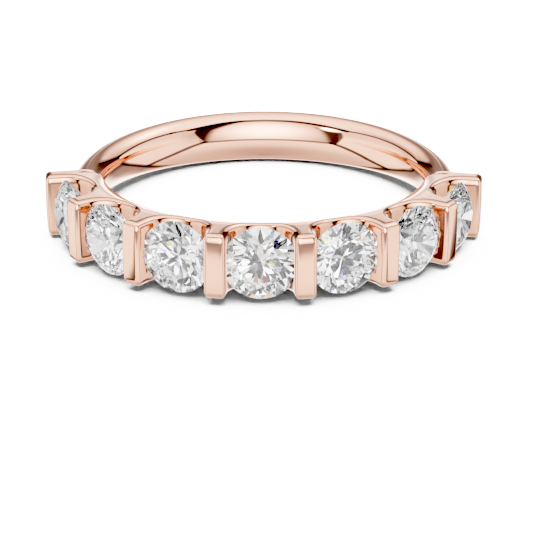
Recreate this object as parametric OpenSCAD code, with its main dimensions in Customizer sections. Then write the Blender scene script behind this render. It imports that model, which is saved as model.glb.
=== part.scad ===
// Half eternity ring: seven round stones held between eight bars, on a plain tapered shank.
// The finger hole runs along Z. The row of stones faces -Y and the plain back of the ring faces +Y.

/* [Finger hole] */
// Inside diameter of the ring
bore_d = 17.3; // [15.5:0.1:20]

/* [Stones] */
// Diameter of each round stone
stone_d = 3.7; // [3.4:0.05:3.8]
// Radius from the ring's axis to the plane of the girdles
girdle_r = 10.9; // [10.8:0.05:11]
// Angle from one stone to the next
stone_pitch = 22.14; // [21.8:0.02:23]
// Width of a stone's flat table, as a share of its diameter
table_share = 0.57; // [0.53:0.01:0.62]
// Slope of the large facets above the girdle
crown_angle = 34; // [32:0.5:36]
// Slope of the large facets below the girdle
pavilion_angle = 40.8; // [40:0.1:42]
// Height of the girdle's band
girdle_h = 0.07; // [0.04:0.01:0.12]
// Gap kept between a stone and the metal round it
seat_gap = 0.02; // [0.01:0.01:0.04]

/* [Bars] */
// Width of each bar across its outer face
bar_w = 1.07; // [0.95:0.01:1.2]
// Length of each bar along the finger
bar_l = 3.36; // [3.1:0.02:3.5]
// Radius from the ring's axis to the outer faces of the bars
face_r = 11.77; // [11.6:0.01:11.9]
// Rounding of the long ends of the bars
end_round = 0.3; // [0.1:0.02:0.4]

/* [Slots] */
// Radius from the ring's axis to the floor of the slot behind each stone
floor_r = 9.66; // [9.5:0.02:9.8]
// Rounding of the two corners along each slot's floor
corner_r = 1.25; // [0.6:0.05:1.4]
// Radius at which the head's sides start to round in towards the finger
shoulder_r = 10.17; // [9.9:0.01:10.4]
// Radius of that rounding
side_round = 2.68; // [2.4:0.02:3.2]

/* [Shank] */
// Thickness of the shank
shank_t = 1.75; // [1.5:0.05:2]
// Width of the shank at the middle of its back
shank_w_back = 2.9; // [2.4:0.05:3]
// Width of the shank at the two sides of the ring
shank_w_side = 2.1; // [1.8:0.05:2.3]
// How square the rounded section is: 2 is an ellipse
shank_power = 2; // [2:0.1:3]
// Width to which the shank flares where it meets the head
flare_w = 3; // [2.6:0.05:3.2]
// Angle round the ring over which it flares
flare_angle = 9; // [6:0.5:14]

/* [Hidden] */
NODES = ["band", "stone_1", "stone_2", "stone_3", "stone_4", "stone_5", "stone_6", "stone_7"];
$fn = 96;
stone_count = len(NODES) - 1;
bore_r = bore_d / 2;
stone_r = stone_d / 2;
table_r = stone_r * table_share;
crown_h = (stone_r - table_r) * tan(crown_angle);
pavilion_h = stone_r * tan(pavilion_angle);
bar_reach = (stone_count / 2) * stone_pitch;
// The head ends just past its last bars, where their outer sides meet the shank
head_half_angle = bar_reach + asin(bar_w / 2 / (bore_r + shank_t));
// Rise of the shank's edge for each millimetre from the ring's side to its back
shank_mid_r = bore_r + shank_t / 2;
taper_angle = atan((shank_w_back - shank_w_side) / 2 / shank_mid_r);
// Depth by which the shank's section starts inside the finger hole, so that the hole trims it
inner_trim = 0.03;
// Depth by which the flare's thin end is tucked under the surface of the shank
tuck = 0.02;
// Radius of the small flat at the tip of each stone's seat
seat_tip_r = 0.1;
// Half the width of a box that is wider than the ring in each direction
beyond = 15;
arc_steps = 8;
section_steps = 16;
flare_steps = 3;
slice_h = 0.01;

// Points on an arc about (cx, cy), from angle a0 to a1
function arc(cx, cy, r, a0, a1, n) =
    [for (i = [0:n]) let (a = a0 + (a1 - a0) * i / n) [cx + r * cos(a), cy + r * sin(a)]];

// The same points below the X axis, in reverse order
function below(points) =
    [for (i = [len(points) - 1:-1:0]) [points[i].x, -points[i].y]];

// A ring of n points at one height, starting at angle a0
function ring(r, z, n, a0) =
    [for (i = [0:n - 1]) let (a = a0 + 360 * i / n) [r * cos(a), r * sin(a), z]];

// The head's upper side, from the face to the finger hole, in radius and height
function head_side() =
    let (
        half = bar_l / 2,
        reach = shoulder_r - bore_r + 0.2,
        sweep = asin(reach / side_round)
    )
    concat(
        arc(face_r - end_round, half - end_round, end_round, 0, 90, arc_steps),
        arc(shoulder_r, half - side_round, side_round, 90, 90 + sweep, arc_steps)
    );

// The full ring of metal that the slots are cut from
module head_blank() {
    rotate([0, 0, -90 - head_half_angle])
        rotate_extrude(angle = 2 * head_half_angle)
            polygon(concat(head_side(), below(head_side())));
}

// The opening of one slot, with x across it and y outward from the ring's axis
module slot_outline() {
    half_pitch = stone_pitch / 2;
    // Half the slot's width at a given height, beside a bar with parallel sides
    function half_w(y) = y * tan(half_pitch) - bar_w / 2 / cos(half_pitch);
    corner_y = floor_r + corner_r;
    corner_x = half_w(corner_y) - corner_r / cos(half_pitch);
    right = concat(
        arc(corner_x, corner_y, corner_r, -90, -half_pitch, arc_steps),
        [[half_w(face_r + 1), face_r + 1]]
    );
    left = [for (i = [len(right) - 1:-1:0]) [-right[i].x, right[i].y]];
    polygon(concat(right, left));
}

// Moves a shape from a stone's own axes, with Z outward, to its place on the ring
module at_stone(i, r) {
    angle = (i - (stone_count - 1) / 2) * stone_pitch;
    rotate([0, 0, angle])
        translate([0, -r, 0])
            rotate([90, 0, 0])
                children();
}

// One slot right through the head, along the finger
module slot(i) {
    at_stone(i, 0)
        rotate([90, 0, 0])
            linear_extrude(height = bar_l + 2, center = true)
                slot_outline();
}

// Room for one stone in the bars and the slot's floor
module seat(i) {
    at_stone(i, girdle_r)
        rotate_extrude()
            polygon([
                [0, -pavilion_h - girdle_h / 2 - seat_gap],
                [seat_tip_r, -pavilion_h - girdle_h / 2 - seat_gap],
                [stone_r + seat_gap, -girdle_h / 2 - seat_gap],
                [stone_r + seat_gap, girdle_h / 2 + seat_gap],
                [table_r, girdle_h / 2 + crown_h + seat_gap],
                [0, girdle_h / 2 + crown_h + seat_gap]
            ]);
}

// The rounded upper half of a section of the shank, half_w high and of the given thickness
function shank_crown(half_w, thickness) =
    let (
        half_t = (thickness + inner_trim) / 2,
        mid = bore_r - inner_trim + half_t,
        e = 2 / shank_power
    )
    [
        for (i = [0:section_steps])
            let (a = 180 * i / section_steps)
                [mid + sign(cos(a)) * half_t * pow(abs(cos(a)), e), half_w * pow(sin(a), e)]
    ];

// The shank's section above its own middle, with straight sides carried on below it
module shank_section() {
    half_w = shank_w_side / 2;
    crown = shank_crown(half_w, shank_t);
    sides = [[crown[section_steps].x, -half_w], [crown[0].x, -half_w]];
    polygon(concat(crown, sides));
}

// Upper half of the shank: a level ring tipped so that its edge rises towards the back
module shank_half() {
    intersection() {
        rotate([taper_angle, 0, 0])
            rotate([0, 0, head_half_angle - 90 - 1])
                rotate_extrude(angle = 362 - 2 * head_half_angle)
                    shank_section();
        translate([-beyond, -beyond, 0])
            cube([2 * beyond, 2 * beyond, beyond]);
    }
}

// One thin slice of the flare, at a share t of the way from the head to the shank
module flare_slice(t) {
    ease = (1 + cos(180 * t)) / 2;
    half_w = (shank_w_side + (flare_w - shank_w_side) * ease) / 2 - tuck;
    crown = shank_crown(half_w, shank_t - tuck);
    rotate([0, 0, head_half_angle + t * flare_angle - 90])
        rotate([90, 0, 0])
            linear_extrude(height = slice_h, center = true)
                polygon(concat(crown, below(crown)));
}

// The widening of the shank into the head, at the +X end
module flare() {
    for (i = [0:flare_steps - 1])
        hull() {
            flare_slice(i / flare_steps);
            flare_slice((i + 1) / flare_steps);
        }
}

// All the metal: shank, head and bars, cast in one piece
module band() {
    color("#e8b79c")
        difference() {
            union() {
                head_blank();
                shank_half();
                mirror([0, 0, 1])
                    shank_half();
                flare();
                mirror([1, 0, 0])
                    flare();
            }
            cylinder(h = 2 * beyond, r = bore_r, center = true);
            for (i = [0:stone_count - 1]) {
                slot(i);
                seat(i);
            }
        }
}

// A round brilliant with its table up: 33 facets above the girdle and 24 below it
module brilliant() {
    top = girdle_h / 2;
    low = -girdle_h / 2;
    star_r = (table_r + (stone_r - table_r) * 0.5) / cos(22.5) * 0.97;
    star_z = top + crown_h * (stone_r - star_r * cos(22.5)) / (stone_r - table_r);
    lower_r = stone_r * 0.24 / cos(22.5);
    lower_z = low - pavilion_h * (1 - lower_r * cos(22.5) / stone_r);
    points = concat(
        ring(table_r, top + crown_h, 8, 0),
        ring(star_r, star_z, 8, 22.5),
        ring(stone_r, top, 16, 0),
        ring(stone_r, low, 16, 0),
        ring(lower_r, lower_z, 8, 22.5),
        [[0, 0, low - pavilion_h]]
    );
    // First point of each ring above
    star = 8;
    upper = 16;
    under = 32;
    lower = 48;
    culet = 56;
    function next(i, n) = (i + 1) % n;
    faces = concat(
        [[for (i = [7:-1:0]) i]],
        [for (i = [0:7]) [i, next(i, 8), star + i]],
        [for (i = [0:7]) [i, star + i, upper + 2 * i, star + (i + 7) % 8]],
        [for (i = [0:7]) [star + i, upper + 2 * i + 1, upper + 2 * i]],
        [for (i = [0:7]) [star + i, upper + next(2 * i + 1, 16), upper + 2 * i + 1]],
        [for (i = [0:15]) [upper + i, upper + next(i, 16), under + next(i, 16), under + i]],
        [for (i = [0:7]) [lower + i, under + 2 * i, under + 2 * i + 1]],
        [for (i = [0:7]) [lower + i, under + 2 * i + 1, under + next(2 * i + 1, 16)]],
        [for (i = [0:7]) [culet, lower + (i + 7) % 8, under + 2 * i, lower + i]]
    );
    polyhedron(points = points, faces = faces, convexity = 4);
}

// One stone in its place, counted from the -X end of the row
module stone(i) {
    color("#eef2f5", 0.7)
        at_stone(i, girdle_r)
            brilliant();
}

band();
for (i = [0:stone_count - 1])
    stone(i);
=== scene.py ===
"""Looks of a half eternity ring in rose gold with seven round brilliant stones.

The metal is meshed from a smooth distance field, so that each edge has its real rounding.
Lengths in the shape functions are in millimetres; each mesh is scaled to metres when it is made.
"""
import math

import bmesh
import bpy
import numpy as np
from mathutils import Matrix, Vector


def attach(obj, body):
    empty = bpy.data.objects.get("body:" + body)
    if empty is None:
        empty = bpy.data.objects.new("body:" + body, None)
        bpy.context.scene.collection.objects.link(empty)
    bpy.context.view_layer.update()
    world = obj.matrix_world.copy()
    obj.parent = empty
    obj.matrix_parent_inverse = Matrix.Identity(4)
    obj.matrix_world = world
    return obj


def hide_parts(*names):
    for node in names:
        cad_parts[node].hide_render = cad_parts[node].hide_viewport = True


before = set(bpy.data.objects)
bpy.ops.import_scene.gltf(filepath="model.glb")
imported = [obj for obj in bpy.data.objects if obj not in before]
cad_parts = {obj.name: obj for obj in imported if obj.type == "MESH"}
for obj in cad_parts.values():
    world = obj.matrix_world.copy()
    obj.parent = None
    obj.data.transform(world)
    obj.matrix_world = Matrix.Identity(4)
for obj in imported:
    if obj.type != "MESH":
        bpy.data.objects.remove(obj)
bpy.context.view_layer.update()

MM = 0.001

# Head, as in the CAD part: radii of the finger hole, the bars' outer faces and the slots' floors
BORE, FACE, FLOOR = 8.65, 11.77, 9.66
# Radius at which the head's sides start to round in towards the finger, and the radius of that rounding
SHOULDER, SIDE_ROUND = 10.17, 2.68
# Half a bar's length along the finger, and half its width
HALF_L, HALF_W = 1.68, 0.535
# Rounding of the slots' inner corners
CORNER = 1.25
# Number of stones, and the angle from one to the next in degrees
STONES, PITCH = 7, 22.14
# The end stone's number counted from the middle stone, and the angle to the middle of an end bar
LAST, END = (STONES - 1) / 2, STONES / 2 * PITCH

# Polished edges: rounding along the bars and slots, over the bars' ends (measured on the end and down the
# face), and at the finger hole; the power makes the first two start gently
EDGE, RIM_WIDTH, RIM_DEPTH, BORE_EDGE = 0.25, 0.34, 0.4, 0.12
GENTLE = 2.4
# How far the bars' outer faces fall away at both ends
BOW = 0.04

# Shank: its thickness, its widths at the back and the sides, and the radius to the middle of its section
THICK, W_BACK, W_SIDE = 1.75, 2.9, 2.1
MID = BORE + THICK / 2
# Flare into the head: its width, and its start past the end bars and its length in degrees
FLARE_W, FLARE_START, FLARE_ANGLE = 3.0, 3, 9.0
# Distance past the middle of an end bar at which the shank starts
SHANK_START = 0.2
# Fillet between head and shank: at the finger hole, what it gains outward, and the radius where that starts
FILLET, FILLET_GAIN, FILLET_FROM = 0.05, 0.3, 8.9

# Stones: radius of their girdles' circle, their own radius and the girdle's height
GIRDLE_R, STONE_R, GIRDLE_H = 10.9, 1.85, 0.07
# Table's share of the width, and the slopes of the main facets in degrees
TABLE, CROWN, PAVILION = 0.57, 34.0, 40.8
# Reach of the star facets down the crown, and of the lower girdle facets towards the tip
STAR, LOWER = 0.5, 0.77
# Gap round a stone, and the rounding of its seat's edge
SEAT_GAP, SEAT_EDGE = 0.045, 0.03


def ease(t):
    """0 up to t = 0 and 1 from t = 1, with a gentle slope between."""
    t = np.clip(t, 0, 1)
    return t * t * (3 - 2 * t)


# Shape of the metal

def rmax(a, b, r, power=2):
    """Intersection of two distance fields with its edge rounded by r; a higher power starts more gently."""
    a1, b1 = np.maximum(a + r, 0), np.maximum(b + r, 0)
    round_part = np.hypot(a1, b1) if power == 2 else (a1 ** power + b1 ** power) ** (1 / power)
    return np.minimum(np.maximum(a, b), -r) + round_part


def rmin(a, b, r):
    """Union of two distance fields with its corner filled by r."""
    return -rmax(-a, -b, r)


def rim(wall, top, width, depth, power, tiny=1e-3, least_slope=0.5):
    """Intersection of a wall and a top, rounded over a width on the top and a depth down the wall."""
    u, v = np.maximum(wall / width + 1, 0), np.maximum(top / depth + 1, 0)
    g = (u ** power + v ** power) ** (1 / power)
    h = np.maximum(g, tiny)
    slope = np.hypot((u / h) ** (power - 1) / width, (v / h) ** (power - 1) / depth)
    return np.where(g < tiny, -min(width, depth), (g - 1) / np.maximum(slope, least_slope))


def seat(q, h):
    """Distance field of the room for a stone: q from its axis, h outward from its girdle."""
    below, above = math.radians(PAVILION), math.radians(CROWN)
    under = (q - STONE_R) * math.sin(below) - (h + GIRDLE_H / 2) * math.cos(below)
    over = (q - STONE_R) * math.sin(above) + (h - GIRDLE_H / 2) * math.cos(above)
    return np.maximum(np.maximum(under, over), q - STONE_R) - SEAT_GAP


def past_end(r, angle):
    """Distance beyond the middle of the nearer end bar, on the way to the back of the ring."""
    return r * np.sin(np.radians(np.clip(np.abs(angle) - END, -90, 90)))


def head(r, angle, z):
    """Distance field of the head: the bars, and the rail behind the stones."""
    top = np.hypot(np.minimum(r - SHOULDER, 0), np.abs(z) - (HALF_L - SIDE_ROUND)) - SIDE_ROUND
    # The nearest slot, in its own axes
    i = np.clip(np.round(angle / PITCH), -LAST, LAST)
    phi = np.radians(angle - i * PITCH)
    half_pitch = math.radians(PITCH / 2)
    across, outward = np.abs(r * np.sin(phi)), r * np.cos(phi)
    side = across * math.cos(half_pitch) - outward * math.sin(half_pitch) + HALF_W
    slot = rmax(side, FLOOR - outward, CORNER)
    face = r - FACE + BOW * (z / HALF_L) ** 2
    plan = rmax(face, past_end(r, angle) - HALF_W, EDGE, GENTLE)
    plan = rmax(plan, -slot, EDGE, GENTLE)
    field = rim(plan, top, RIM_WIDTH, RIM_DEPTH, GENTLE)
    field = rmax(field, BORE - r, BORE_EDGE)
    return rmax(field, -seat(np.hypot(across, z), outward - GIRDLE_R), SEAT_EDGE)


def shank(r, angle, y, z, tiny=1e-9):
    """Distance field of the shank: an ellipse that widens towards the back and flares into the head."""
    half_w = (W_SIDE + (W_BACK - W_SIDE) * np.clip(y / MID, 0, 1)) / 2
    flare = 1 - ease((np.abs(angle) - END - FLARE_START) / FLARE_ANGLE)
    half_w = half_w + (FLARE_W - W_SIDE) / 2 * flare
    u, v = np.abs(r - MID) / (THICK / 2), np.abs(z) / half_w
    g = np.hypot(u, v) + tiny
    field = (g - 1) / (np.hypot(u / g / (THICK / 2), v / g / half_w) + tiny)
    return np.maximum(field, SHANK_START - past_end(r, angle))


def metal(x, y, z):
    """Distance field of all the metal, negative inside."""
    r = np.hypot(x, y)
    angle = np.degrees(np.arctan2(x, -y))
    fillet = FILLET + FILLET_GAIN * ease(r - FILLET_FROM)
    return np.maximum(rmin(head(r, angle, z), shank(r, angle, y, z), fillet), BORE - r)


def slopes(v, h=0.004):
    """Gradient of the metal's field at each point."""
    g = np.empty_like(v)
    for c in range(3):
        d = np.zeros(3)
        d[c] = h
        g[:, c] = (metal(*(v + d).T) - metal(*(v - d).T)) / (2 * h)
    return g


# Mesh of the metal

CELL_CORNERS = [(i, j, k) for i in (0, 1) for j in (0, 1) for k in (0, 1)]


def ring_angles(fine=0.42, gain=0.68, head_end=92, change=20):
    """Angles of the meshing grid round the ring: close over the head, wider round the shank."""
    a, side = 0.0, [0.0]
    while a < 180:
        a += fine + gain * float(ease((a - head_end) / change))
        side.append(a)
    side = np.array(side) * 180 / side[-1]
    return np.radians(np.concatenate([-side[-2:0:-1], side]))


def surface_points(f, lines):
    """A point in each grid cell that the surface crosses, and the cells' numbers, -1 where it doesn't."""
    inside = f < 0
    n, nr, nz = [size - 1 for size in f.shape]
    count = sum(inside[i:i + n, j:j + nr, k:k + nz].astype(int) for i, j, k in CELL_CORNERS)
    cell = (count > 0) & (count < len(CELL_CORNERS))
    number = -np.ones(cell.shape, int)
    number[cell] = np.arange(cell.sum())
    at = np.nonzero(cell)
    total, crossings = np.zeros((len(at[0]), 3)), np.zeros(len(at[0]))
    for a in CELL_CORNERS:
        for axis in range(3):
            if a[axis]:
                continue
            b = tuple(c + (k == axis) for k, c in enumerate(a))
            ia, ib = [tuple(at[k] + c[k] for k in range(3)) for c in (a, b)]
            crossed = inside[ia] != inside[ib]
            t = np.where(crossed, f[ia] / np.where(crossed, f[ia] - f[ib], 1), 0)
            ends = [(g[ia[k]], g[ib[k]]) for k, g in enumerate(lines)]
            p = np.stack([start + t * (end - start) for start, end in ends], 1)
            total += np.where(crossed[:, None], p, 0)
            crossings += crossed
    angle, r, z = (total / crossings[:, None]).T
    return np.stack([r * np.sin(angle), -r * np.cos(angle), z], 1), number


def surface_quads(inside, number):
    """A quad across each grid line that the surface crosses, from the points of the four cells round it."""
    n, nr, nz = number.shape
    back = -np.eye(3, dtype=int)
    quads = []
    for axis in range(3):
        first = [slice(0, n), slice(1, nr), slice(1, nz)]
        second = list(first)
        first[axis] = slice(0, number.shape[axis])
        second[axis] = slice(1, number.shape[axis] + 1)
        starts_inside, ends_inside = inside[tuple(first)], inside[tuple(second)]
        crossed = starts_inside != ends_inside
        i, j, k = np.nonzero(crossed)
        j, k = j + (axis != 1), k + (axis != 2)
        one, two = back[(axis + 1) % 3], back[(axis + 2) % 3]
        cells = (0 * one, one, one + two, two)
        quad = np.stack([number[(i + d[0]) % n, j + d[1], k + d[2]] for d in cells], 1)
        turned = starts_inside[crossed]
        quad[turned] = quad[turned][:, ::-1]
        quads.append(quad)
    return np.concatenate(quads)


def mesh_metal(step=0.085, inner=0.13, outer=0.15, height=1.8, passes=3, least_slope=0.2):
    """Vertices, quads and normals of the metal, from a grid in angle, radius and height."""
    angles = ring_angles()
    radii = np.arange(BORE - inner, FACE + outer, step)
    rows = math.ceil(height / step)
    heights = np.arange(-rows, rows + 1) * step
    a, r, z = np.meshgrid(angles, radii, heights, indexing="ij")
    f = metal(r * np.sin(a), -r * np.cos(a), z)
    # The grid's last row of cells closes the ring
    f = np.concatenate([f, f[:1]])
    angles = np.append(angles, angles[0] + 2 * math.pi)
    v, number = surface_points(f, (angles, radii, heights))
    quads = surface_quads(f < 0, number)
    # Moves each point onto the surface
    for _ in range(passes):
        g = slopes(v)
        v = v - (metal(*v.T) / np.maximum((g * g).sum(1), least_slope))[:, None] * g
    g = slopes(v)
    return v, quads, g / np.linalg.norm(g, axis=1)[:, None]


def new_object(name, data):
    """An object in the scene that holds the given data."""
    obj = bpy.data.objects.new(name, data)
    bpy.context.scene.collection.objects.link(obj)
    return obj


def make_band():
    """The metal as one object with smooth shading."""
    v, quads, normals = mesh_metal()
    mesh = bpy.data.meshes.new("ring_metal")
    mesh.vertices.add(len(v))
    mesh.vertices.foreach_set("co", (v * MM).ravel())
    mesh.loops.add(quads.size)
    mesh.loops.foreach_set("vertex_index", quads.ravel())
    mesh.polygons.add(len(quads))
    mesh.polygons.foreach_set("loop_start", np.arange(0, quads.size, 4))
    mesh.update(calc_edges=True)
    mesh.validate()
    mesh.polygons.foreach_set("use_smooth", np.ones(len(quads), bool))
    mesh.normals_split_custom_set_from_vertices(normals)
    return new_object("ring_metal", mesh)


# Stones

def brilliant_planes():
    """Planes of the 57 facets of a round brilliant with its table up, as (point, normal) pairs."""
    up = Vector((0, 0, 1))
    eighth, sixteenth = 45, 22.5

    def turned(r, z, degrees):
        a = math.radians(degrees)
        return Vector((r * math.cos(a), r * math.sin(a), z))

    def through(a, b, c, away):
        n = (b - a).cross(c - a).normalized()
        return (a, n if n.dot(away) > 0 else -n)

    def beside_girdle(z, degrees, point, away):
        """The two facets between the girdle and a point."""
        edge = [turned(STONE_R, z, degrees + sixteenth * s) for s in range(3)]
        return [through(edge[s], edge[s + 1], point, away) for s in (0, 1)]

    table_r = STONE_R * TABLE
    crown_slope, pavilion_slope = math.tan(math.radians(CROWN)), math.tan(math.radians(PAVILION))
    high, low = GIRDLE_H / 2, -GIRDLE_H / 2
    top = high + (STONE_R - table_r) * crown_slope
    bottom = low - STONE_R * pavilion_slope
    # A star facet's outer tip, and a lower girdle facet's inner tip, lie on the main facets
    half = math.cos(math.radians(sixteenth))
    star_d = table_r * half + (STONE_R - table_r * half) * STAR
    star_z = high + (STONE_R - star_d * half) * crown_slope
    lower_d = STONE_R * (1 - LOWER)
    lower_z = bottom + lower_d * half * pavilion_slope
    planes = [(Vector((0, 0, top)), up)]
    for k in range(8):
        a = eighth * k
        corner, next_corner = turned(table_r, top, a), turned(table_r, top, a + eighth)
        tip, girdle = turned(star_d, star_z, a + sixteenth), turned(STONE_R, high, a)
        planes.append(through(corner, tip, next_corner, up))
        planes.append(through(girdle, tip, turned(star_d, star_z, a - sixteenth), up))
        planes += beside_girdle(high, a, tip, up)
        inner = turned(lower_d, lower_z, a + sixteenth)
        planes.append(through(turned(STONE_R, low, a), inner, Vector((0, 0, bottom)), -up))
        planes += beside_girdle(low, a, inner, -up)
    return planes


def brilliant_mesh(sides=96, rod_length=6):
    """One stone with flat facets and a scalloped girdle, cut from a round rod."""
    bm = bmesh.new()
    bmesh.ops.create_cone(
        bm, cap_ends=True, segments=sides, radius1=STONE_R, radius2=STONE_R, depth=rod_length
    )
    for point, normal in brilliant_planes():
        geom = bm.verts[:] + bm.edges[:] + bm.faces[:]
        cut = bmesh.ops.bisect_plane(
            bm, geom=geom, dist=1e-6, plane_co=point, plane_no=normal, clear_outer=True
        )
        edges = [g for g in cut["geom_cut"] if isinstance(g, bmesh.types.BMEdge)]
        open_edges = [e for e in edges if len(e.link_faces) == 1]
        if len(open_edges) > 2:
            bmesh.ops.contextual_create(bm, geom=open_edges)
    bmesh.ops.remove_doubles(bm, verts=bm.verts[:], dist=1e-5)
    bmesh.ops.recalc_face_normals(bm, faces=bm.faces[:])
    mesh = bpy.data.meshes.new("brilliant")
    bmesh.ops.scale(bm, vec=(MM, MM, MM), verts=bm.verts[:])
    bm.to_mesh(mesh)
    bm.free()
    return mesh


def stone_place(i):
    """Where stone i sits: its table faces out from the ring's axis."""
    turn = Matrix.Rotation(math.radians((i - LAST) * PITCH), 4, "Z")
    out = Matrix.Translation((0, -GIRDLE_R * MM, 0))
    return turn @ out @ Matrix.Rotation(math.radians(90), 4, "X")


# Materials

# The gold's own colour, and the darker gold that is painted as shade into slots and corners
GOLD, PAINTED_SHADE_GOLD = (0.93, 0.56, 0.45, 1), (0.58, 0.3, 0.22, 1)
# Sockets of a colour Mix node: its factor, its two colours and its result
MIX_FACTOR, MIX_A, MIX_B, MIX_RESULT = 0, 6, 7, 2


def principled(name):
    """A new material, its shader and its node tree."""
    mat = bpy.data.materials.new(name)
    mat.use_nodes = True
    return mat, mat.node_tree.nodes["Principled BSDF"], mat.node_tree


def set_inputs(node, **values):
    """Sets a node's inputs, with each space in their names written as an underscore."""
    for name, value in values.items():
        node.inputs[name.replace("_", " ")].default_value = value


def noise(tree, scale, detail, low, high):
    """A noise pattern fixed to the piece, with values between low and high."""
    place, cloud = tree.nodes.new("ShaderNodeTexCoord"), tree.nodes.new("ShaderNodeTexNoise")
    set_inputs(cloud, Scale=scale, Detail=detail)
    spread = tree.nodes.new("ShaderNodeMapRange")
    set_inputs(spread, From_Min=0.3, From_Max=0.7, To_Min=low, To_Max=high)
    tree.links.new(place.outputs["Object"], cloud.inputs["Vector"])
    tree.links.new(cloud.outputs["Fac"], spread.inputs["Value"])
    return spread.outputs["Result"]


def bump(tree, shader, height, depth):
    """Relief of the given depth in metres."""
    relief = tree.nodes.new("ShaderNodeBump")
    set_inputs(relief, Distance=depth)
    tree.links.new(height, relief.inputs["Height"])
    tree.links.new(relief.outputs["Normal"], shader.inputs["Normal"])


def see_past(tree, shader, factor):
    """Lets the rays picked by factor go straight through a shader."""
    mix, clear = tree.nodes.new("ShaderNodeMixShader"), tree.nodes.new("ShaderNodeBsdfTransparent")
    tree.links.new(factor, mix.inputs["Fac"])
    tree.links.new(shader.outputs["BSDF"], mix.inputs[1])
    tree.links.new(clear.outputs["BSDF"], mix.inputs[2])
    tree.links.new(mix.outputs["Shader"], tree.nodes["Material Output"].inputs["Surface"])


def gold_with_painted_shade(tree):
    """The gold's colour with painted shade: a darker, deeper gold in slots and corners, standing in for the
    shade and the deep colour where gold mirrors gold.
    """
    corner_shade_ao, shade_blend = tree.nodes.new("ShaderNodeAmbientOcclusion"), tree.nodes.new("ShaderNodeMix")
    corner_shade_ao.samples = 6
    set_inputs(corner_shade_ao, Distance=1.6 * MM)
    shade_blend.data_type = "RGBA"
    shade_blend.inputs[MIX_A].default_value, shade_blend.inputs[MIX_B].default_value = PAINTED_SHADE_GOLD, GOLD
    tree.links.new(corner_shade_ao.outputs["AO"], shade_blend.inputs[MIX_FACTOR])
    return shade_blend.outputs[MIX_RESULT]


def own_reflection(tree, longest=20):
    """1 for a mirrored ray that meets the ring at a distance where the metal doesn't mirror itself."""
    path, reach = tree.nodes.new("ShaderNodeLightPath"), tree.nodes.new("ShaderNodeMapRange")
    set_inputs(reach, From_Max=longest * MM)
    curve = tree.nodes.new("ShaderNodeValToRGB")
    # Length of the ray in millimetres, and 1 where it goes past the ring
    stops = ((0.15, 0), (0.6, 1), (4.5, 1), (6.0, 0), (11.0, 0), (15.5, 1))
    for _ in stops[2:]:
        curve.color_ramp.elements.new(0.5)
    for stop, (length, value) in zip(curve.color_ramp.elements, stops):
        stop.position, stop.color = length / longest, (value, value, value, 1)
    both = tree.nodes.new("ShaderNodeMath")
    both.operation = "MULTIPLY"
    tree.links.new(path.outputs["Ray Length"], reach.inputs["Value"])
    tree.links.new(reach.outputs["Result"], curve.inputs["Fac"])
    tree.links.new(path.outputs["Is Glossy Ray"], both.inputs[0])
    tree.links.new(curve.outputs["Color"], both.inputs[1])
    return both.outputs[0]


def rose_gold():
    """Polished gold with a faint haze, painted shade in its slots and corners, and waves a fraction of a
    micron deep.
    """
    mat, shader, tree = principled("rose_gold")
    set_inputs(shader, Base_Color=GOLD, Metallic=1.0)
    tree.links.new(noise(tree, scale=900, detail=3, low=0.02, high=0.05), shader.inputs["Roughness"])
    # Painted shade: the base colour turns a deeper gold in slots and corners
    tree.links.new(gold_with_painted_shade(tree), shader.inputs["Base Color"])
    bump(tree, shader, noise(tree, scale=260, detail=1, low=0, high=1), depth=3e-7)
    see_past(tree, shader, own_reflection(tree))
    return mat


def diamond():
    """Clear stone with faint polishing lines on its facets."""
    mat, shader, tree = principled("diamond")
    set_inputs(shader, Base_Color=(1, 1, 1, 1), Transmission_Weight=1.0, Roughness=0.0, IOR=2.417)
    bump(tree, shader, noise(tree, scale=700, detail=1, low=0, high=1), depth=1e-7)
    # The metal's slightly blurred reflections look past the stones, and the stones' own sharp ones don't
    path, mask = tree.nodes.new("ShaderNodeLightPath"), tree.nodes.new("ShaderNodeMath")
    mask.operation = "GREATER_THAN"
    tree.links.new(path.outputs["Is Glossy Ray"], mask.inputs[0])
    tree.links.new(path.outputs["Is Singular Ray"], mask.inputs[1])
    see_past(tree, shader, mask.outputs[0])
    return mat


def white_floor():
    """Matt white paper with a faint grain."""
    mat, shader, tree = principled("white_floor")
    set_inputs(shader, Base_Color=(0.9, 0.9, 0.9, 1))
    tree.links.new(noise(tree, scale=30, detail=4, low=0.85, high=0.95), shader.inputs["Roughness"])
    bump(tree, shader, noise(tree, scale=400, detail=3, low=0, high=1), depth=2e-5)
    return mat


# The ring

gold, clear = rose_gold(), diamond()

band = make_band()
band.data.materials.append(gold)
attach(band, "root")
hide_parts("band")

shape = brilliant_mesh()
for i in range(STONES):
    mesh = shape.copy()
    mesh.transform(stone_place(i))
    stone = new_object(f"brilliant_{i + 1}", mesh)
    mesh.materials.append(clear)
    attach(stone, "root")
    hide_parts(f"stone_{i + 1}")


# Studio: panels of light that only mirrors and clear stones see. A place in it is an azimuth and an
# elevation in degrees from the ring, with azimuth 0 at -Y.

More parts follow.
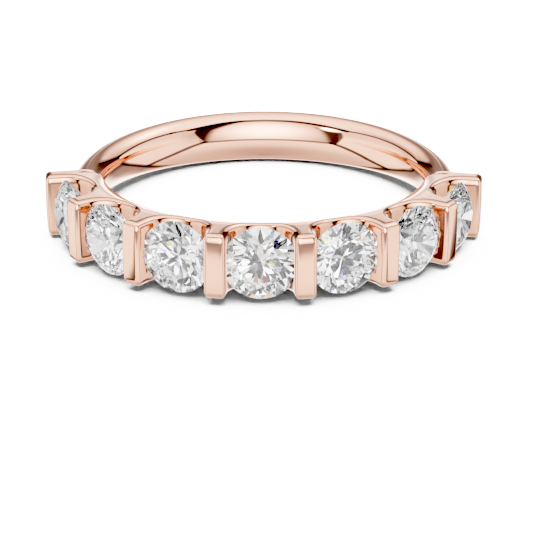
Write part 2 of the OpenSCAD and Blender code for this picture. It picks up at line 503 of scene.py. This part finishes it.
# Lines of the dark gaps between the panels
CEILING_LEFT = [
    (-180, 32), (-165, 26), (-150, 18), (-134, 9.5), (-122, 18),
    (-108, 26), (-92, 31.5), (-78, 33), (-62, 33),
]
ARCH = [
    (-62, 33), (-48, 41), (-36, 47), (-22, 51.5), (0, 53.5),
    (20, 51.5), (34, 46.5), (48, 38), (57, 33),
]
CEILING_CORNER = [(57, 33), (76, 32.5)]
CEILING_RIGHT = [(76, 32.5), (90, 29), (104, 23), (116, 15.5), (125, 11)]
CEILING_BACK = [(125, 11), (140, 16), (152, 21), (166, 27), (180, 32)]
LOW_LEFT = [
    (-50, -14), (-58, -18.5), (-68, -25), (-80, -32),
    (-92, -38), (-104, -41.3), (-114, -42.5), (-124, -43),
]
LOW_FRONT = [(-50, -15), (-35, -16.4), (-18, -17), (0, -17.4), (18, -17), (35, -16.4), (46, -15)]
LOW_RIGHT = [(46, -14), (56, -20.5), (66, -27.5), (78, -34), (90, -38.3), (102, -40.7), (114, -43)]
BACK_LEFT = [
    (-134, -6), (-134, -17), (-129, -24), (-126.5, -32),
    (-125.5, -39), (-127, -45), (-134, -50), (-146, -53),
]
BACK_RIGHT = [
    (124, -6), (121, -16), (117.5, -24), (115.5, -32),
    (116, -40), (120, -47), (128, -52), (142, -56),
]
# How many points of the back's two lines part it from the side walls; the others run on under the ring
PARTING = 6
# Azimuths at which the front panel meets the side walls
FRONT_FROM, FRONT_TO = -54, 49

# Each gap's line, half its dark width, the softness of its edges and its depth
GAPS = (
    (CEILING_LEFT, 1.0, 2.8, 0.8),
    (CEILING_CORNER, 1.2, 2.6, 0.84),
    (CEILING_RIGHT, 1.4, 3.0, 0.84),
    (CEILING_BACK, 0.8, 4.0, 0.6),
    (LOW_LEFT, 1.1, 2.6, 0.85),
    (LOW_RIGHT, 1.1, 2.8, 0.82),
    (LOW_FRONT, 1.0, 2.4, 0.66),
    (BACK_LEFT, 1.2, 4.0, 0.76),
    (BACK_RIGHT, 1.0, 4.0, 0.8),
)

# Soft patches on the panels: strength, middle and size. Shades have a strength below 0.
# Along the ceiling's lower edge, with elevations from that edge
EDGE_PATCHES = (
    (-0.75, (-118, 0), (42, 13)),
    (-0.3, (88, 2), (26, 7)),
    (-0.45, (126, 5), (24, 12)),
)
CEILING_PATCHES = (
    (0.95, (113, 47), (17, 12)),
    (0.2, (14, 57), (34, 9)),
)
FRONT_PATCHES = ((1.75, (0, 12), (35, 32)),)
LEFT_PATCHES = (
    (-0.35, (-121, -5), (10, 40)),
    (0.25, (-119, -21), (13, 12)),
)
RIGHT_PATCHES = ((-0.4, (52, 6), (12, 16)),)
# The same at both sides of the back
CEILING_BACK_PATCHES = ((-0.55, (170, 38), (13, 22)),)
BACK_PATCHES = ((0.9, (162, -38), (22, 9)),)


def ramp(value, start, end):
    """0 up to start and 1 from end, with a gentle slope between."""
    return ease((value - start) / (end - start))


def hump(value, size):
    """1 at 0, and falling off on both sides."""
    return np.exp(-(value / size) ** 2)


def glow(az, el, at, size):
    """A soft patch of light, 1 at its middle."""
    return hump(az - at[0], size[0]) * hump(el - at[1], size[1])


def patches(az, el, rows):
    """Sum of the soft patches in a table."""
    return sum(strength * glow(az, el, at, size) for strength, at, size in rows)


def seam(az, el, points, half, soft):
    """1 on the line through the points, fading to 0 beside it."""
    best = np.full(az.shape, 999.0)
    k = np.cos(np.radians(el))
    for (a0, e0), (a1, e1) in zip(points, points[1:]):
        ux, uy = (a1 - a0) * k, e1 - e0
        px, py = (az - a0) * k, el - e0
        t = np.clip((px * ux + py * uy) / (ux * ux + uy * uy), 0, 1)
        best = np.minimum(best, np.hypot(px - t * ux, py - t * uy))
    return 1 - ease((best - half) / soft)


def height_of(points, az):
    """Elevation of a line at each azimuth."""
    return np.interp(az, *zip(*points))


def wall_end(points, el):
    """Azimuth of a line that goes down, at each elevation."""
    return np.interp(-el, *zip(*[(-e, a) for a, e in points[:PARTING]]))


def back_panel(side, el):
    """Brightness behind the ring: dark above, and lighter low down and at the very back."""
    light = 0.13 + 0.75 * ramp(el, 14, -12) * ramp(side, 143, 163) + 0.3 * ramp(side, 150, 180)
    light = light + 0.25 * ramp(el, -8, -20) + patches(side, el, BACK_PATCHES)
    light = light + 1.6 * ramp(side, 170, 176) * ramp(el, 6, -2) * ramp(el, -10, -2)
    return light + 0.65 * ramp(side, 166, 174) * ramp(el, 4, 12) * ramp(el, 23, 19)


def front_corners(az, el, over):
    """Share of the light that is left in the two dark corners beside the front panel."""
    # The corners' sides lean: their azimuth shifts with the elevation, more beyond a turning height
    inner = az - 0.18 * (el - 10) - 0.3 * np.maximum(el - 24, 0)
    outer = az - 0.18 * np.maximum(8 - el, 0)
    left = ramp(inner, -40, -47) * ramp(az, -61, -59.4) * ramp(outer, -59, -57.5)
    left = left * ramp(el, -17, -11) * ramp(el, 34, 29)
    inner = az - 0.16 * (20 - el) + 0.5 * np.maximum(el - 22, 0)
    outer = az + 0.24 * np.maximum(20 - el, 0)
    right = ramp(inner, 34, 43) * ramp(outer, 54.5, 52.9) * ramp(el, -17, -12) * ramp(over, 2, -1)
    return (1 - 0.8 * left) * (1 - 0.88 * right)


def room(az, el):
    """Brightness of the studio in each direction."""
    side = np.abs(az)
    ceiling_edge = CEILING_LEFT + ARCH[1:] + CEILING_CORNER[1:] + CEILING_RIGHT[1:] + CEILING_BACK[1:]
    floor_edge = LOW_LEFT[::-1] + LOW_FRONT[1:] + LOW_RIGHT[1:]
    over, under = el - height_of(ceiling_edge, az), height_of(floor_edge, az) - el
    behind = np.where(az < 0, az < wall_end(BACK_LEFT, el), az > wall_end(BACK_RIGHT, el))

    ceiling = 1.3 - 0.25 * ramp(side, 60, 180) + patches(az, over, EDGE_PATCHES)
    ceiling = ceiling + patches(az, el, CEILING_PATCHES) + patches(side, el, CEILING_BACK_PATCHES)
    front = 0.52 + patches(az, el, FRONT_PATCHES)
    below = 0.08 * ramp(el, 0, -14)
    left = 1.25 - 0.3 * ramp(el, 2, 20) - below + patches(az, el, LEFT_PATCHES)
    right = 1.2 - 0.25 * ramp(el, 2, 22) - below + patches(az, el, RIGHT_PATCHES)
    floor = 1.14 - 0.46 * ramp(el, -24, -54) * (0.45 + 0.55 * hump(az, 52))

    out = np.where(az < FRONT_FROM, left, np.where(az > FRONT_TO, right, front))
    out = np.where(under > 0, floor, out)
    fade = ramp(el, -44, -54)
    out = np.where(behind, back_panel(side, el) * (1 - fade) + floor * fade, out)
    out = np.where(over > 0, ceiling, out)
    out = out * front_corners(az, el, over)
    # A small lamp in the left corner
    out = out + 3.0 * ramp(glow(az, el, (-50.5, 29), (11, 9)), 0.32, 0.945)

    for points, half, soft, depth in GAPS:
        out = out * (1 - depth * seam(az, el, points, half, soft))
    # A band of nearly even grey at the far back
    grey, evenness = 0.3, 0.8
    far = ramp(side, 152, 166) * ramp(el, 20, 23) * ramp(el, 35, 30)
    out = out + (grey - out) * evenness * far
    # The arch over the front panel is the widest gap, and lighter at its middle
    arch = seam(az, el, ARCH, 2.2 + hump(az, 26), 4.6) * (0.9 - 0.2 * hump(az, 20))
    return out * (1 - arch)


def directions(az, el):
    """Unit vectors towards places in the studio."""
    a, e = np.radians(az), np.radians(el)
    return np.stack([np.sin(a) * np.cos(e), -np.cos(a) * np.cos(e), np.sin(e)], -1)


def gem_room(az, el, seed=11, spots=320, dark=1.2, bright=0.8):
    """Light that goes through the stones: a pale room with small dark, grey, bright and coloured spots."""
    rng = np.random.default_rng(seed)
    toward = directions(az, el)
    out = np.repeat((1.14 - 0.42 * ramp(np.abs(az), 18, 64))[..., None], 3, -1)
    # What the coloured spots add to red, green and blue
    sparks = ((1.1, 0.9, -0.3), (-0.4, 0.2, 1.0), (0.3, -0.2, 0.7), (0.7, 0.2, -0.1))
    for i in range(spots):
        # Two spots of three are drawn towards the front
        spot = rng.normal(size=3) - (0, 1.6 * (i % 3 > 0), 0)
        spot /= np.linalg.norm(spot)
        off = np.degrees(np.arccos(np.clip(toward @ spot, -1, 1)))[..., None]
        group, kind = divmod(i, 8)
        if kind < 3:
            out -= dark * ease(2.5 - 2 * off / rng.uniform(2.5, 7.0))
        elif kind < 6:
            out -= rng.uniform(0.3, 0.7) * ease(2 - 1.5 * off / rng.uniform(4, 10))
        elif kind == 6:
            out += bright * ease(1.5 - off / rng.uniform(5, 10))
        else:
            out += bright * ease(2 - 1.5 * off / rng.uniform(1.5, 3)) * np.array(sparks[group % 4])
    return np.maximum(out, 0.01)


def glowing(name, attribute):
    """A material that gives off the light stored on its mesh."""
    mat = bpy.data.materials.new(name)
    mat.use_nodes = True
    nodes, links = mat.node_tree.nodes, mat.node_tree.links
    nodes.clear()
    out, shine = nodes.new("ShaderNodeOutputMaterial"), nodes.new("ShaderNodeEmission")
    stored = nodes.new("ShaderNodeVertexColor")
    stored.layer_name = attribute
    links.new(stored.outputs["Color"], shine.inputs["Color"])
    links.new(shine.outputs["Emission"], out.inputs["Surface"])
    mat.cycles.emission_sampling = "NONE"
    return mat


def make_dome(name, light, sees, columns=360, rows=180, radius=3.0, pole=89.6):
    """A large sphere round the ring that glows with the brightness that light gives for each direction."""
    across = np.arange(columns) * 360 / columns - 180
    az, el = np.meshgrid(across, np.linspace(-pole, pole, rows))
    v = radius * directions(az, el).reshape(-1, 3)
    i, j = [g.ravel() for g in np.meshgrid(np.arange(columns), np.arange(rows - 1))]
    k, low, high = (i + 1) % columns, j * columns, (j + 1) * columns
    faces = np.stack([low + i, high + i, high + k, low + k], 1)
    caps = [list(range(columns - 1, -1, -1)), list(range((rows - 1) * columns, rows * columns))]
    mesh = bpy.data.meshes.new(name)
    mesh.from_pydata(v.tolist(), [], faces.tolist() + caps)
    colour = np.ones((len(v), 4))
    colour[:, :3] = light(az, el).reshape(len(v), -1)
    stored = mesh.color_attributes.new("light", "FLOAT_COLOR", "POINT")
    stored.data.foreach_set("color", colour.ravel())
    mesh.materials.append(glowing(name, "light"))
    dome = new_object(name, mesh)
    dome.visible_camera = dome.visible_diffuse = False
    dome.visible_shadow = dome.visible_volume_scatter = False
    dome.visible_glossy = sees == "mirrors"
    dome.visible_transmission = sees == "stones"


make_dome("studio_panels", room, "mirrors")
make_dome("studio_sparkle", gem_room, "stones")
band.visible_transmission = False

# The floor is tipped as the ring rests on it: on its end stones and on the back of the shank
rest_y, rest_z = GIRDLE_R * math.cos(math.radians(LAST * PITCH)), STONE_R
tip = math.atan((rest_z - W_BACK / 2) / (rest_y + MID))
bpy.ops.mesh.primitive_circle_add(vertices=96, radius=1.5, fill_type="NGON", rotation=(tip, 0, 0))
floor = bpy.context.object
floor.location = (0, 0, (rest_y * math.tan(tip) - rest_z) * MM)
floor.name = "floor"
floor.data.materials.append(white_floor())
floor.visible_glossy = floor.visible_transmission = False

# White light on the floor and behind the ring: one light overhead, and one near the horizon and below it.
# From this height on a unit ball, to this height, strength before, strength after
SKY = ((0.8, 0.9, 0.25, 12.0), (0.3, 0.15, 0.0, 3.6))

scene = bpy.context.scene
world = bpy.data.worlds.new("studio")
scene.world = world
world.use_nodes = True
nodes, links = world.node_tree.nodes, world.node_tree.links
where, height = nodes.new("ShaderNodeTexCoord"), nodes.new("ShaderNodeSeparateXYZ")
links.new(where.outputs["Generated"], height.inputs[0])
total = nodes.new("ShaderNodeMath")
for k, (start, end, before, after) in enumerate(SKY):
    part = nodes.new("ShaderNodeMapRange")
    part.interpolation_type = "SMOOTHSTEP"
    set_inputs(part, From_Min=start, From_Max=end, To_Min=before, To_Max=after)
    links.new(height.outputs["Z"], part.inputs["Value"])
    links.new(part.outputs["Result"], total.inputs[k])
set_inputs(nodes["Background"], Color=(1, 1, 1, 1))
links.new(total.outputs[0], nodes["Background"].inputs["Strength"])
world.cycles_visibility.glossy = world.cycles_visibility.transmission = False
scene.cycles.caustics_reflective = scene.cycles.caustics_refractive = False
# Enough bounces for the light to find its way out of a stone
BOUNCES = 32
scene.cycles.max_bounces = scene.cycles.transparent_max_bounces = BOUNCES
scene.cycles.glossy_bounces = scene.cycles.transmission_bounces = BOUNCES


def film(contrast=2.05, toe=0.08):
    """Shades each colour like a bright print: 1 - exp(-contrast * (light - toe))."""
    scene.use_nodes = True
    nodes, links = scene.node_tree.nodes, scene.node_tree.links
    nodes.clear()
    split, join = nodes.new("CompositorNodeSeparateColor"), nodes.new("CompositorNodeCombineColor")
    links.new(nodes.new("CompositorNodeRLayers").outputs["Image"], split.inputs[0])

    def math_node(kind, a, b):
        node = nodes.new("CompositorNodeMath")
        node.operation = kind
        for socket, value in zip(node.inputs, (a, b)):
            if isinstance(value, bpy.types.NodeSocket):
                links.new(value, socket)
            else:
                socket.default_value = value
        return node.outputs[0]

    for c in range(3):
        light = math_node("MAXIMUM", math_node("SUBTRACT", split.outputs[c], toe), 0.0)
        power = math_node("POWER", math.exp(-contrast), light)
        links.new(math_node("SUBTRACT", 1.0, power), join.inputs[c])
    links.new(join.outputs[0], nodes.new("CompositorNodeComposite").inputs["Image"])


film()

# Camera: how far it looks down and to the side, its distance, and where the ring sits in the picture
DOWN, TURN = math.radians(21.9), math.radians(-0.898)
DISTANCE, RING_LEFT, RING_UP = 96.161, 0.1256, 4.2072

cam_data = bpy.data.cameras.new("camera")
cam = new_object("camera", cam_data)
right = Vector((math.cos(TURN), -math.sin(TURN), 0))
forward = Vector((math.sin(TURN) * math.cos(DOWN), math.cos(TURN) * math.cos(DOWN), -math.sin(DOWN)))
up = right.cross(forward)
target = right * RING_LEFT * MM - up * RING_UP * MM
cam.matrix_world = Matrix((right, up, -forward)).transposed().to_4x4()
cam.location = target - forward * DISTANCE * MM
cam_data.lens, cam_data.sensor_width = 120, 36
cam_data.clip_start, cam_data.clip_end = 0.005, 10
bpy.context.scene.camera = cam
bpy.context.scene.view_settings.view_transform = "Standard"
